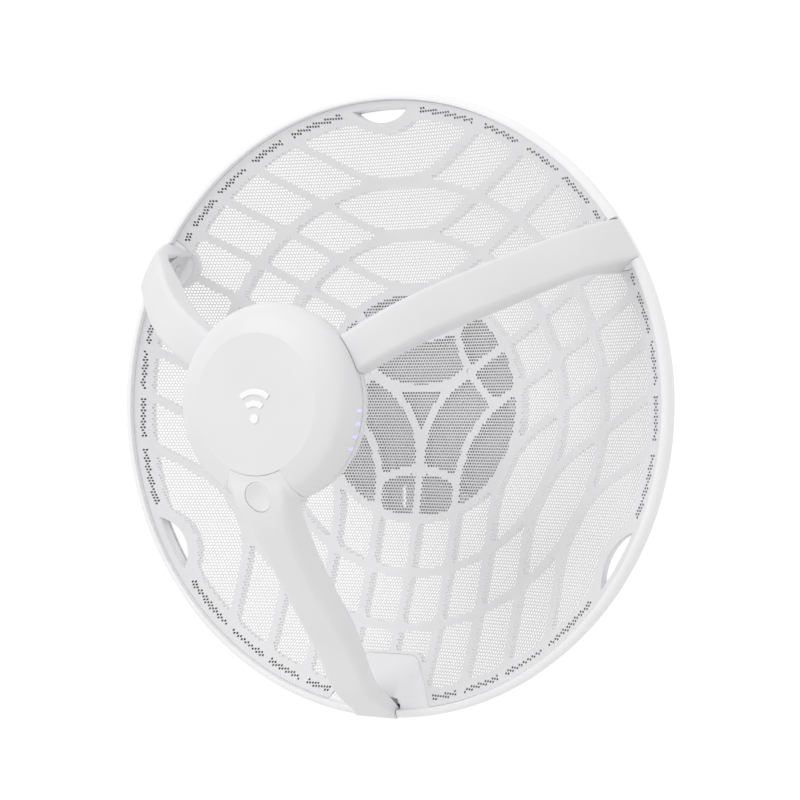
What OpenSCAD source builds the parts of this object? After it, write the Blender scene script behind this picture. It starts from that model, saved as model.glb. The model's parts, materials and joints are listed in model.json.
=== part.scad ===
// Outdoor wireless bridge: a perforated dish on a ribbed frame, three arms that carry the radio at the
// focus, a hinged cable cover on the lower arm and a rear boss with a bolt pattern.
// The beam points along -Y. The origin is the centre of the boss's rear mounting face.

/* [Dish] */
// Outer radius of the rim
rim_r = 206.5; // [204:0.5:210]
// Depth of the bowl below the rim plane
bowl_depth = 60; // [56:1:64]
// Thickness of the perforated sheet
sheet_t = 1; // [0.8:0.1:1.2]
// Thickness of a rib
rib_w = 3; // [2.4:0.2:3.6]
// Depth of a rib beside the hub
rib_h = 13; // [11:1:15]
// Spacing of the parallel ribs
rib_pitch = 30; // [29:0.5:31]
// Radius of a rib's bend
bend_r = 72; // [70:1:74]

/* [Hub and mount] */
// Radius of the ring that closes the hub
hub_r = 78.8; // [76:0.2:82]
// Distance from the rim plane back to the mounting face
mount_back = 86; // [84:1:92]
// Radius of the mounting boss
boss_r = 42; // [40:1:46]
// Spacing of the four threaded inserts
insert_pitch = 50; // [46:1:52]
// Core radius of an M6 insert
insert_bore_r = 2.5; // [2.4:0.05:2.6]

/* [Arms] */
// Half width of an arm at the radio
arm_half_in = 12.8; // [12:0.2:14]
// Half width of an arm at the rim
arm_half_out = 14.6; // [14:0.2:16]
// Depth of an arm's section
arm_deep = 15; // [14:0.5:16]
// Wall of an arm
arm_wall = 2.4; // [2:0.2:3]

/* [Radio] */
// Largest radius of the radio
puck_r = 61; // [60:0.5:62]
// Distance from the rim plane to the radio's front face
puck_front = 147; // [146:1:148]
// Wall of the radio's shells
shell_t = 2.4; // [2:0.2:2.8]

/* [Cover] */
// Radius of the release button
button_r = 9; // [8:0.1:9.4]
// Travel of the release button
button_travel = 1.5; // [1:0.1:1.8]
// Gap between a moving part and its neighbour
gap = 0.3; // [0.25:0.05:0.4]

/* [Hidden] */
$fn = 96;

white = "white";
metal = "silver";
arms = [30, 150, 270];
sectors = [90, 210, 330];
bowl_r = rim_r - 6.5;
sheet_r = bowl_r + 0.7;
bead_in = sheet_r + gap;
bead_r = 4;
skin_gap = 0.1;
stations = [for (i = [0:10]) i * bowl_r / 10];
ring_radii = [114.6, 149.6];

// Front surface of the sheet at radius r: a paraboloid, with its focus in front of the rim plane.
function sheet_z(r) = -bowl_depth * (1 - pow(r / bowl_r, 2));
function rib_top(r) = sheet_z(r) - sheet_t - skin_gap;
plate_front = -(bowl_depth + 4);
plate_t = 2;
plate_back = plate_front - plate_t;
function rib_low(r) = max(rib_top(r) - rib_h + 5 * r / bowl_r, plate_front + 0.2);

function bowl_curve(r0, r1, up) = [for (i = [0:5]) let (r = r0 + i * (r1 - r0) / 5) [r, sheet_z(r) + up]];

// A smooth path through hand-set points, by Catmull-Rom pieces.
function knot(p, i) = p[min(max(i, 0), len(p) - 1)];
function blend(a, b, c, d, t) =
  0.5 * (2 * b + (c - a) * t + (2 * a - 5 * b + 4 * c - d) * t * t + (3 * b - a - 3 * c + d) * t * t * t);
function smooth(p, n) = concat(
  [for (i = [0:len(p) - 2]) for (k = [0:n - 1])
    blend(knot(p, i - 1), p[i], knot(p, i + 1), knot(p, i + 2), k / n)],
  [p[len(p) - 1]]);
function reversed(p) = [for (i = [len(p) - 1:-1:0]) p[i]];
function normal(p, i) =
  let (d = knot(p, i + 1) - knot(p, i - 1)) [d[1], -d[0]] / norm(d);
function behind(p, s) = [for (i = [0:len(p) - 1]) p[i] + s * normal(p, i)];

// Side views of the arms, as radius and distance in front of the rim plane.
arm_line = smooth([[56, 126], [84, 120], [111, 107], [134, 89], [153, 71], [170, 54], [186, 37],
  [198, 17], [204.5, 3], [205.5, -2]], 3);
cover_line = smooth([[47, 145.6], [56, 143.2], [65, 139], [77, 131], [95, 116], [121, 94], [155, 61],
  [185, 37], [198, 18], [204.5, 6]], 3);
cover_deep = 15.5;
cover_t = 2.2;
base_deep = 17;
base_half = 12;
hinge = [202.6, 1.4];
hinge_r = 1.2;
barrel_r = 4;
notch_half = 17.6;
notch_z = -3;
foot_lift = 0.6;

// Half section of the radio: front and rear shells meet at the seam.
seam_z = 121;
seam_half = 0.3;
front_pts = [[41, 0], [43.5, -0.3], [53.5, -3.8], [57.4, -7.2], [60.1, -12.2], [puck_r, -17.5],
  [puck_r - 0.3, -22], [puck_r - 1.2, seam_z + seam_half - puck_front]];
rear_pts = smooth([[puck_r - 1.3, seam_z - seam_half], [58.6, 114], [55, 108], [48, 103.6], [40, 101.5],
  [30, 100.8]], 3);
rear_last = len(rear_pts) - 1;
function front_side(s) = [for (q = front_pts) [q[0] + s, puck_front + q[1] + s]];
radome_r = 15;
bay_r = 43;
bay_half = 25;
bay_floor = seam_z + seam_half + 2;
bay_top = puck_front + 4;
button_y = -56;
button_low = 138;
cup_floor = 134;
jack_half = 8;
jack_low = 122.5;
jack_high = 136;
jack_mouth_y = -bay_r + 3.4;
reset_x = 12.5;
reset_z = 130;
reset_travel = 0.8;
board_z = 124;
board_t = 1.6;
board_r = 51.5;
boss_ring = 50;
led_angles = [-4, -11.4, -18.7, -26.3];
tongue_z = 112.6;
tongue_h = 6.4;
tongue_half = 8;
tongue_in = 46;
arm_screw_r = 51.5;

hub_screw_angles = [0, 60, 120, 180, 240, 300];
hub_screw_ring = 74.5;
boss_flange_r = 57;
boss_flange_t = 4;
boss_screw_ring = 49;
boss_screw_angles = [0:60:300];
grommet_r = 180;
grommet_hole_r = 6.5;
cable_r = 3.2;
grommet_low = -25.2;
foot_screw_y = 8;
function foot_screw_r(a) = a == 270 ? 186 : 190;
function foot_seat(a) = sheet_z(foot_screw_r(a)) - 9.2;

module place() { translate([0, -mount_back, 0]) rotate([90, 0, 0]) children(); }
module on_arm(a) { rotate([0, 0, a]) children(); }
module ring(r0, r1) { difference() { circle(r1); circle(r0); } }
module tube(r0, r1, z0, z1) { translate([0, 0, z0]) linear_extrude(z1 - z0) ring(r0, r1); }
module rod(r, z0, z1) { translate([0, 0, z0]) cylinder(r = r, h = z1 - z0); }
module block(x0, x1, y0, y1, z0, z1) { translate([x0, y0, z0]) cube([x1 - x0, y1 - y0, z1 - z0]); }

// ---- Dish ----

// A rib that comes in parallel to one arm, bends round, and leaves parallel to the next; sector axis +Y.
module bent_rib(off, w, leg) {
  yc = (off + bend_r) / cos(30);
  inner = [for (a = [240:10:300]) [(bend_r - w / 2) * cos(a), yc + (bend_r - w / 2) * sin(a)]];
  outer = [for (a = [240:10:300]) [(bend_r + w / 2) * cos(a), yc + (bend_r + w / 2) * sin(a)]];
  left = leg * [-cos(30), sin(30)];
  right = leg * [cos(30), sin(30)];
  polygon(concat([inner[0] + left], inner, [inner[6] + right, outer[6] + right], reversed(outer),
    [outer[0] + left]));
}

// A short rib that bows towards the centre, between the two ribs beside an arm; arm along +X.
module hub_arc(w) {
  centre = 113;
  arc_r = 68;
  far = [for (a = [152:8:208]) [centre + (arc_r - w / 2) * cos(a), (arc_r - w / 2) * sin(a)]];
  near = [for (a = [152:8:208]) [centre + (arc_r + w / 2) * cos(a), (arc_r + w / 2) * sin(a)]];
  polygon(concat(far, reversed(near)));
}

module rib_pattern() {
  for (a = sectors) rotate([0, 0, a - 90]) {
    bent_rib(0, rib_w - 0.2, 3);
    for (k = [1:4]) bent_rib(k * rib_pitch, rib_w, 260);
  }
  for (a = arms) on_arm(a) {
    translate([41, -rib_w / 2 - 0.1]) square([170, rib_w + 0.2]);
    hub_arc(rib_w);
  }
  for (r = ring_radii) ring(r - rib_w / 2, r + rib_w / 2);
}

// The lens-shaped slot near the rim, between two arms; sector axis +Y.
module eye(s) {
  intersection() {
    circle(bowl_r - 3.5 + s);
    translate([0, bowl_r + 18.7]) circle(31.2 + s);
  }
}

// Outline of the pad under the foot at angle a, with the arm along +X: round, or flared at the boom.
module pad_outline(a, s) {
  if (a == 270) polygon([[bowl_r - 33 - s, -21 - s], [bowl_r - 28, -24 - s], [bowl_r - 18, -29 - s],
    [bowl_r - 4, -38 - s], [bowl_r + 2, -41 - s], [bowl_r + 2, 41 + s], [bowl_r - 4, 38 + s],
    [bowl_r - 18, 29 + s], [bowl_r - 28, 24 + s], [bowl_r - 33 - s, 21 + s]]);
  else intersection() {
    translate([bowl_r + 1, 0]) circle(20 + s);
    translate([bowl_r - 30, -30]) square([32, 60]);
  }
}

module reflector_sheet() {
  profile = concat([for (r = stations) [r, sheet_z(r)]], [[sheet_r, sheet_z(sheet_r)]],
    [[sheet_r, sheet_z(sheet_r) - sheet_t]], [for (r = reversed(stations)) [r, sheet_z(r) - sheet_t]]);
  color(white) place() difference() {
    rotate_extrude() polygon(profile);
    for (a = sectors) rotate([0, 0, a - 90]) translate([0, 0, -30]) linear_extrude(40) eye(0.2);
    for (a = arms) on_arm(a) translate([0, 0, -40]) linear_extrude(50) pad_outline(a, gap);
    for (s = [-1, 1]) translate([s * 38, 22.5, 0]) rod(1.7, -70, -40);
  }
}

module frame_rim() {
  ledge = bowl_r - 10;
  rotate_extrude() difference() {
    union() {
      translate([rim_r - bead_r, 0]) circle(bead_r);
      translate([bead_in, -9]) square([rim_r - bead_in - 1.4, 9]);
      polygon([[ledge, rib_top(ledge)], [bowl_r, rib_top(bowl_r)], [bead_in + 1, rib_top(bowl_r)],
        [bead_in + 1, -9], [bead_in, -9], [ledge, rib_top(ledge) - 3]]);
    }
    polygon([[ledge - 30, 20], [ledge - 30, rib_top(ledge)], [ledge, rib_top(ledge)],
      [bowl_r, rib_top(bowl_r)], [bead_in, rib_top(bowl_r)], [bead_in, 20]]);
  }
}

module frame_ribs() {
  outer = bowl_r - 1;
  radii = concat([for (i = [0:9]) stations[i]], [outer]);
  band = concat([for (r = radii) [r, rib_top(r)]], [for (r = reversed(radii)) [r, rib_low(r)]]);
  intersection() {
    translate([0, 0, -80]) linear_extrude(90) rib_pattern();
    rotate_extrude() polygon(band);
  }
}

// A slab that follows the bowl between two offsets from the sheet's front surface.
module bowl_slab(r0, r1, up, down) {
  rotate_extrude() polygon(concat(bowl_curve(r0, r1, up), reversed(bowl_curve(r0, r1, -down))));
}

module frame_pad(a) {
  on_arm(a) difference() {
    intersection() {
      translate([0, 0, -60]) linear_extrude(90) pad_outline(a, 0);
      bowl_slab(bowl_r - 36, bead_in + 0.5, foot_lift, 11);
    }
    if (a == 270) block(bowl_r - 22, bowl_r - 13, 16, 25, -60, 30);
  }
}

module dish_frame() {
  color(white) place() difference() {
    union() {
      frame_rim();
      frame_ribs();
      tube(hub_r - rib_w / 2, hub_r + rib_w / 2, plate_front + 0.2, rib_top(hub_r) - 0.6);
      for (a = sectors) rotate([0, 0, a - 90]) intersection() {
        translate([0, 0, -60]) linear_extrude(90) eye(6.5);
        bowl_slab(bowl_r - 22, bead_in + 0.5, -sheet_t - skin_gap, 8);
      }
      for (a = arms) frame_pad(a);
      for (a = hub_screw_angles) on_arm(a) translate([hub_screw_ring, 0, 0])
        rod(4.2, plate_front + 0.2, rib_top(hub_screw_ring) - 1.2);
    }
    for (a = sectors) rotate([0, 0, a - 90]) translate([0, 0, -40]) linear_extrude(60) eye(0);
    for (a = arms) on_arm(a) block(bowl_r - 1.6, rim_r + 5, -notch_half, notch_half, notch_z, 30);
    for (a = hub_screw_angles) on_arm(a) translate([hub_screw_ring, 0, 0]) rod(1.3, -70, plate_front + 9);
    for (a = arms) on_arm(a) for (s = [-1, 1]) translate([foot_screw_r(a), s * foot_screw_y, 0]) {
      rod(1.8, -60, 20);
      rod(3.3, -60, foot_seat(a));
    }
    on_arm(270) translate([grommet_r, 0, 0]) {
      rod(grommet_hole_r, -60, 20);
      rod(grommet_hole_r + 1.9, -60, grommet_low + 2.45);
    }
    on_arm(270) translate([hinge[0], 0, hinge[1]]) rotate([90, 0, 0]) rod(hinge_r, -23, 23);
  }
}

// ---- Hub and mount ----

module hub_plate() {
  color(white) place() difference() {
    rod(79.3, plate_back, plate_front);
    for (a = hub_screw_angles) on_arm(a) translate([hub_screw_ring, 0, 0]) rod(1.7, -80, -50);
    for (a = boss_screw_angles) on_arm(a) translate([boss_screw_ring, 0, 0]) rod(2.2, -80, -50);
    translate([60, -28, 0]) rod(2.2, -80, -50);
    block(-17.6, -14.4, -71, -56.5, -80, -50);
  }
}

module mount_boss() {
  color(metal) place() difference() {
    union() {
      rod(boss_r, -mount_back, plate_back);
      rod(boss_flange_r, plate_back - boss_flange_t, plate_back);
    }
    rod(20, -mount_back - 1, plate_back - 4);
    for (x = [-1, 1]) for (y = [-1, 1]) translate([x * insert_pitch / 2, y * insert_pitch / 2, 0])
      rod(4, -mount_back - 1, -mount_back + 12);
    for (a = boss_screw_angles) on_arm(a) translate([boss_screw_ring, 0, 0]) rod(2.2, -80, -50);
  }
}

module mount_inserts() {
  color("gold") place() for (x = [-1, 1]) for (y = [-1, 1])
    translate([x * insert_pitch / 2, y * insert_pitch / 2, 0])
      tube(insert_bore_r, 4, -mount_back, -mount_back + 12);
}

// A pan-head screw whose head sits at z_head and whose shank runs forward.
module screw_forward(r, head_r, head_h, z_head, z_tip) {
  rod(head_r, z_head - head_h, z_head);
  rod(r, z_head, z_tip);
}

module boss_screws() {
  color(metal) place() for (a = boss_screw_angles) on_arm(a) translate([boss_screw_ring, 0, 0]) {
    screw_forward(2, 3.8, 2.6, plate_back - boss_flange_t, plate_front);
    rod(3.4, plate_front, plate_front + 2.2);
  }
}

module hub_screws() {
  color(metal) place() for (a = hub_screw_angles) on_arm(a) translate([hub_screw_ring, 0, 0])
    screw_forward(1.3, 2.8, 2, plate_back, plate_front + 8);
}

module ground_screw() {
  color(metal) place() translate([60, -28, 0]) {
    screw_forward(2, 4.2, 2.8, plate_back - 1, plate_front);
    tube(2, 5, plate_back - 1, plate_back);
    rod(3.6, plate_front, plate_front + 2.2);
  }
}

// ---- Arms ----

module side_extrude(p, half) {
  rotate([90, 0, 0]) translate([0, 0, -half]) linear_extrude(2 * half) polygon(p);
}

module puck_solid(s) {
  rotate_extrude() polygon(concat([[0, puck_front + s]], front_side(s),
    [for (q = rear_pts) [q[0] + s, q[1] - s]], [[0, rear_pts[rear_last][1] - s]]));
}

// Everything under an arm's foot, plus a clearance: the pad, as far out as the hinge, and the notched rim.
module foot_bed(up) {
  rotate_extrude() polygon(concat(bowl_curve(bowl_r - 45, hinge[0], foot_lift + up),
    [[hinge[0], notch_z + 0.2], [rim_r + 20, notch_z + 0.2], [rim_r + 20, -60], [bowl_r - 45, -60]]));
}

module tongue(reach) {
  block(tongue_in, reach, -tongue_half, tongue_half, tongue_z, tongue_z + tongue_h);
}

module arm(a) {
  low = behind(arm_line, arm_deep);
  plan = [[50, -arm_half_in], [rim_r - 0.2, -arm_half_out], [rim_r - 0.2, arm_half_out],
    [50, arm_half_in]];
  hollow = concat([for (i = [4:22]) (arm_line[i] + arm_wall * normal(arm_line, i))],
    [for (i = [22:-1:4]) (arm_line[i] + (arm_deep + 4) * normal(arm_line, i))]);
  difference() {
    union() {
      difference() {
        intersection() {
          side_extrude(concat(arm_line, [[rim_r - 1, -12], [rim_r - 19, -12]],
            reversed([for (i = [0:22]) low[i]])), 20);
          linear_extrude(200) polygon(plan);
        }
        side_extrude(hollow, arm_half_in - arm_wall);
        puck_solid(0.2);
      }
      tongue(66);
    }
    foot_bed(skin_gap);
    translate([arm_screw_r, 0, 0]) rod(1.25, 100, tongue_z + tongue_h - 1.2);
    for (s = [-1, 1]) translate([foot_screw_r(a), s * foot_screw_y, 0]) rod(1.25, -20, 12);
  }
}

module arm_left() { color(white) place() on_arm(150) arm(150); }
module arm_right() { color(white) place() on_arm(30) arm(30); }

module boom_base() {
  last = 23;
  top = behind(cover_line, cover_t + 1.2);
  low = behind(cover_line, base_deep);
  inner = behind(cover_line, base_deep - 2.4);
  first = 6;
  body = concat([for (i = [first:last]) top[i]], [[192, -12], [176, -16]],
    reversed([for (i = [first:last - 3]) low[i]]));
  way = concat([for (i = [first - 1:last + 1]) cover_line[i]], [[197, 0], [190, 0]],
    reversed([for (i = [first - 1:last - 4]) inner[i]]));
  color(white) place() on_arm(270) difference() {
    union() {
      difference() {
        side_extrude(body, base_half);
        side_extrude(way, base_half - 2);
        puck_solid(0.2);
      }
      tongue(64);
      block(61.5, 67, -tongue_half, tongue_half, tongue_z, 126);
    }
    foot_bed(skin_gap);
    translate([arm_screw_r, 0, 0]) rod(1.25, 100, tongue_z + tongue_h - 1.2);
    for (s = [-1, 1]) translate([foot_screw_r(270), s * foot_screw_y, 0]) rod(1.25, -20, 12);
    translate([grommet_r, 0, 0]) rod(grommet_hole_r, -60, 30);
  }
}

module arm_screws() {
  color(metal) place() for (a = arms) on_arm(a) translate([arm_screw_r, 0, 0])
    screw_forward(1.25, 2.6, 1.8, 108, tongue_z + tongue_h - 1.6);
}

module foot_screws() {
  color(metal) place() for (a = arms) on_arm(a) for (s = [-1, 1])
    translate([foot_screw_r(a), s * foot_screw_y, 0])
      screw_forward(1.25, 3, 2.2, foot_seat(a), foot_seat(a) + 19);
}

// ---- Cable cover ----

// Outline of the radio's cable bay, seen from the front; the bay opens towards the lower arm.
module bay_outline(s) {
  polygon(concat([for (a = [246:6:294]) (bay_r - s) * [cos(a), sin(a)]],
    [[bay_half + s, -53.4], [bay_half + s, -72], [-bay_half - s, -72], [-bay_half - s, -53.4]]));
}

module cover_plan(s) {
  right = [[20, 49], [17.4, 60], [16.4, 77], [15, 95], [14.6, 121], [15, 155], [15.6, 185], [15.8, 199],
    [15, 210]];
  polygon(concat([for (q = right) [q[1], q[0] - s]], reversed([for (q = right) [q[1], s - q[0]]])));
}

module cover_body(s) {
  last = 24;
  low = behind(cover_line, cover_deep);
  top = s == 0 ? cover_line : behind(cover_line, s);
  end = s == 0 ? [[206.6, 1], [204, -2.6], [199, -2.6], [190, -8], [178, -14]] :
    [[198, 8], [197.6, -6], [190, -20], [165, -24]];
  intersection() {
    side_extrude(concat([for (i = [0:last]) top[i]], end,
      reversed([for (i = [0:last - 5]) low[i] + [-s, -3 * s]])), 25);
    translate([0, 0, -20]) linear_extrude(200) cover_plan(s == 0 ? 0 : cover_t);
  }
}

module boom_cover() {
  color(white) place() difference() {
    union() {
      difference() {
        union() {
          intersection() {
            puck_solid(0);
            translate([0, 0, bay_floor + gap]) linear_extrude(60) bay_outline(-gap);
          }
          on_arm(270) cover_body(0);
        }
        intersection() {
          puck_solid(-cover_t);
          translate([0, 0, 100]) linear_extrude(80) bay_outline(4);
        }
        on_arm(270) cover_body(cover_t);
        intersection() {
          puck_solid(gap);
          translate([0, 0, 90]) linear_extrude(bay_floor + gap - 90) square(140, center = true);
        }
        on_arm(270) foot_bed(gap + 0.1);
      }
      translate([0, button_y, 0]) intersection() {
        tube(button_r + 0.6, button_r + 2.4, cup_floor, 150);
        translate([0, -button_y, 0]) on_arm(270) side_extrude(concat([for (i = [0:9])
          cover_line[i] - [0, 0.6]], [[90, 100], [40, 100]]), 20);
      }
      translate([0, button_y, 0]) rod(button_r + 2.4, cup_floor, cup_floor + 1.2);
      on_arm(270) translate([hinge[0], 0, hinge[1]]) rotate([90, 0, 0]) rod(barrel_r, -15, 15);
    }
    translate([0, button_y, 0]) rod(button_r + 0.35, button_low - 2.4, 160);
    on_arm(270) translate([hinge[0], 0, hinge[1]]) rotate([90, 0, 0]) rod(hinge_r + 0.06, -30, 30);
    intersection() {
      rod(bay_r + gap, 100, 160);
      block(-40, 40, -50, 0, 100, 160);
    }
  }
}

module hinge_pin() {
  color(metal) place() on_arm(270) translate([hinge[0], 0, hinge[1]]) rotate([90, 0, 0])
    rod(hinge_r, -21, 21);
}

module release_button() {
  color(white) place() difference() {
    intersection() {
      translate([0, button_y, 0]) rod(button_r, button_low, 160);
      on_arm(270) side_extrude(concat([for (i = [0:9]) cover_line[i]], [[90, 100], [40, 100]]), 20);
    }
    translate([0, button_y + 9, 158]) sphere(r = 16);
  }
}

module button_dome() {
  color("dimgray") place() translate([0, button_y, 0])
    rod(5, cup_floor + 1.2, button_low - button_travel - 0.2);
}

module cable_grommet() {
  color("dimgray") place() on_arm(270) translate([grommet_r, 0, 0]) {
    tube(cable_r, grommet_hole_r, grommet_low, grommet_low + 16);
    tube(grommet_hole_r, grommet_hole_r + 1.6, grommet_low, grommet_low + 2.4);
  }
}

// ---- Radio ----

module shell_bosses(r, z0, z1) {
  for (a = sectors) on_arm(a) translate([boss_ring, 0, 0]) rod(r, z0, z1);
}

module led_slots(s) {
  for (a = led_angles) on_arm(a) block(54, puck_r - 0.05 + 4 * s, -1.2 - s, 1.2 + s, 124.4 - s, 129.8 + s);
}

module housing_front() {
  top = puck_front - shell_t;
  color(white) place() difference() {
    union() {
      rotate_extrude() polygon(concat([[0, top]], [[0, puck_front]], front_side(0),
        [[puck_r - 3.6, seam_z + seam_half]], reversed([for (i = [0:6]) front_pts[i] +
          [-shell_t + 0.2, top]])));
      intersection() {
        puck_solid(0);
        translate([0, 0, seam_z + seam_half]) linear_extrude(60) bay_outline(2);
      }
      intersection() {
        puck_solid(-1);
        shell_bosses(3.6, seam_z + seam_half, 150);
      }
    }
    translate([0, 0, bay_floor]) linear_extrude(bay_top) bay_outline(0);
    shell_bosses(1.3, seam_z - 2, puck_front - 6);
    led_slots(0.06);
    block(-jack_half - 0.1, jack_half + 0.1, -bay_r - 1, -30, jack_low - 0.1, jack_high + 0.1);
    translate([reset_x, -30, reset_z]) rotate([90, 0, 0]) rod(1.7, 0, 30);
    for (a = arms) on_arm(a) block(tongue_in, 70, -tongue_half, tongue_half, 100, tongue_z + tongue_h);
  }
}

module housing_rear() {
  top = seam_z - seam_half;
  inner = concat([[rear_pts[0][0] - shell_t, top]],
    [for (i = [1:rear_last]) rear_pts[i] + shell_t * normal(rear_pts, i)]);
  color(white) place() difference() {
    union() {
      rotate_extrude() polygon(concat(rear_pts, [[radome_r + 0.1, 100.4], [radome_r + 0.1, 103]],
        reversed(inner)));
      intersection() {
        puck_solid(-1);
        union() {
          shell_bosses(3.6, 100, top);
          for (a = arms) on_arm(a) translate([arm_screw_r, 0, 0]) rod(4.4, 100, tongue_z - 0.1);
        }
      }
    }
    shell_bosses(1.7, 95, 130);
    shell_bosses(3.1, 95, 109);
    for (a = arms) on_arm(a) {
      block(tongue_in - 0.5, 70, -tongue_half - 0.1, tongue_half + 0.1, tongue_z - 0.1,
        tongue_z + tongue_h + 0.1);
      translate([arm_screw_r, 0, 0]) rod(1.5, 95, 120);
      translate([arm_screw_r, 0, 0]) rod(2.9, 95, 108);
    }
    translate([-24, 24, 0]) rod(3.2, 90, 110);
  }
}

module housing_gasket() {
  color("dimgray") place() difference() {
    tube(puck_r - 3.4, puck_r - 1.5, seam_z - seam_half, seam_z + seam_half);
    for (a = arms) on_arm(a) block(40, 70, -8.5, 8.5, 110, tongue_z + tongue_h + 0.2);
  }
}

module housing_screws() {
  color(metal) place() for (a = sectors) on_arm(a) translate([boss_ring, 0, 0])
    screw_forward(1.3, 2.8, 2, 109, puck_front - 8);
}

// A dot with two arcs above it, as a mark for a radio link.
module emblem() {
  color(white) place() translate([0, -9, puck_front]) linear_extrude(0.8) {
    circle(3);
    for (r = [9, 16]) intersection() {
      ring(r - 1.8, r + 1.8);
      polygon([[0, 0], [-30, 40], [30, 40]]);
    }
  }
}

module led_windows() { color("white") place() led_slots(0); }

module led_chips() {
  color("mediumpurple") place() for (a = led_angles) on_arm(a)
    block(43.5, 46, -1, 1, board_z + board_t, board_z + board_t + 1);
}

module feed_radome() {
  color(white) place() {
    tube(radome_r - 2, radome_r, 99.2, 104);
    rod(radome_r - 2, 99.2, 100.6);
    tube(radome_r, radome_r + 2.5, 103.1, 104);
  }
}

module feed_horn() {
  color(metal) place() {
    rotate_extrude() polygon([[10.4, 102], [12, 102], [12, 103], [5, 116], [5, 118.4], [3.4, 118.4],
      [3.4, 116]]);
  }
}

module rf_shield() {
  color(metal) place() difference() {
    block(-18, 18, -16, 20, 118.6, board_z - 0.1);
    block(-17.4, 17.4, -15.4, 19.4, 119.2, board_z);
    rod(3.4, 110, 120);
  }
}

module heat_spreader() {
  color(metal) place() difference() {
    union() {
      rod(43, 112, 114.5);
      for (a = [20, 75, 110, 160, 200, 340]) on_arm(a) translate([34, 0, 0]) rod(3.4, 112, board_z - 0.1);
    }
    rod(14, 100, 130);
    block(-11, 11, -60, -15, 100, 130);
    for (a = [20, 75, 110, 160, 200, 340]) on_arm(a) translate([34, 0, 0]) rod(1.25, 116, 130);
  }
}

module main_board() {
  color("darkgreen") place() difference() {
    rod(board_r, board_z, board_z + board_t);
    translate([0, 0, 110]) linear_extrude(30) bay_outline(3);
    block(-jack_half - 0.2, jack_half + 0.2, -60, -20, 110, 140);
    shell_bosses(4, 110, 140);
    for (a = [20, 75, 110, 160, 200, 340]) on_arm(a) translate([34, 0, 0]) rod(1.5, 110, 140);
  }
}

module board_screws() {
  color(metal) place() for (a = [20, 75, 110, 160, 200, 340]) on_arm(a) translate([34, 0, 0]) {
    rod(1.25, 117, board_z + board_t);
    rod(2.6, board_z + board_t, board_z + board_t + 1.8);
  }
}

module ethernet_jack() {
  color("silver") place() difference() {
    block(-jack_half, jack_half, jack_mouth_y, -20.2, jack_low, jack_high);
    block(-6, 6, jack_mouth_y - 1, -25, 124, 132.6);
    block(-3, 3, jack_mouth_y - 1, -25, 132.5, 134.4);
  }
}

module gps_antenna() {
  color("tan") place() {
    block(-12.5, 12.5, 3, 28, board_z + board_t, board_z + board_t + 4);
    translate([0, 15.5, 0]) rod(1, board_z + board_t + 4, board_z + board_t + 4.8);
  }
}

module reset_button() {
  color("dimgray") place() translate([reset_x, 0, reset_z]) rotate([90, 0, 0]) rod(1.6, 37.4, 43.6);
}

module reset_switch() {
  color("dimgray") place()
    block(reset_x - 3, reset_x + 3, -37.4 + reset_travel + 0.2, -32, board_z + board_t, 132.5);
}

module vent_plug() {
  color("dimgray") place() translate([-24, 24, 0]) {
    rod(3.1, 100.2, 104.4);
    rod(4.6, 99, 100.4);
  }
}

reflector_sheet();
dish_frame();
hub_plate();
mount_boss();
mount_inserts();
boss_screws();
hub_screws();
ground_screw();
arm_left();
arm_right();
boom_base();
foot_screws();
arm_screws();
boom_cover();
hinge_pin();
release_button();
button_dome();
cable_grommet();
housing_front();
housing_rear();
housing_gasket();
housing_screws();
emblem();
led_windows();
feed_radome();
feed_horn();
rf_shield();
heat_spreader();
main_board();
board_screws();
ethernet_jack();
gps_antenna();
led_chips();
reset_button();
reset_switch();
vent_plug();
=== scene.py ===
import json
import math

import bmesh
import bpy
import numpy as np
from mathutils import Matrix, Vector


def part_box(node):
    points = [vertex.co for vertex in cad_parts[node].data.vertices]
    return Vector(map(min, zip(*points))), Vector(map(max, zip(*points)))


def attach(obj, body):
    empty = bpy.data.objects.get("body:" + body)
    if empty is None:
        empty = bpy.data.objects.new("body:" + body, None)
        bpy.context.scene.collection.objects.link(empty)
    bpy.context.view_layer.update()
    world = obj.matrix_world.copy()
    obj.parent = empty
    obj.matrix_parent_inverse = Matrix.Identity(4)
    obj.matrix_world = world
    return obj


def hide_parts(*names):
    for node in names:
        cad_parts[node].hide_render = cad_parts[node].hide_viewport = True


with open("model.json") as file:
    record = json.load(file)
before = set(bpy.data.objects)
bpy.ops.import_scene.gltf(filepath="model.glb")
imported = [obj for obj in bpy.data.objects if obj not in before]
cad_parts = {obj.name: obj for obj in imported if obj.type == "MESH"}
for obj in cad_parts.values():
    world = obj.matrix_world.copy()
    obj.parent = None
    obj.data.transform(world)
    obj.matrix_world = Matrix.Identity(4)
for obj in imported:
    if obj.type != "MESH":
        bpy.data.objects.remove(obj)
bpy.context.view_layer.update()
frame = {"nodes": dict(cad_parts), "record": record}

# ---- Sizes in millimetres, in the dish's own axes: x right, y up, z forward of the rim plane ----
MM = 0.001
PUCK_FRONT = 147.0
RIM_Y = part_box("housing_front")[0][1] / MM + PUCK_FRONT
RIM_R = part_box("dish_frame")[1][0] / MM
BOWL_R = RIM_R - 6.5
BOWL_DEPTH = 60.0
SHEET_T = 0.6
SHEET_R = BOWL_R + 0.7
ARMS = (30.0, 150.0, 270.0)
SECTORS = (90.0, 210.0, 330.0)
BACK_PLATE_Z = -64.0

C30, S30 = math.cos(math.pi / 6), 0.5


def sheet_z(r):
    """Height of the sheet's front face at radius r: a paraboloid."""
    return -BOWL_DEPTH * (1.0 - (r / BOWL_R) ** 2)


def place(points):
    """Dish axes in millimetres to the row frame in metres."""
    p = np.asarray(points, float)
    return np.stack([p[:, 0], RIM_Y - p[:, 2], p[:, 1]], axis=1) * MM


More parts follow.
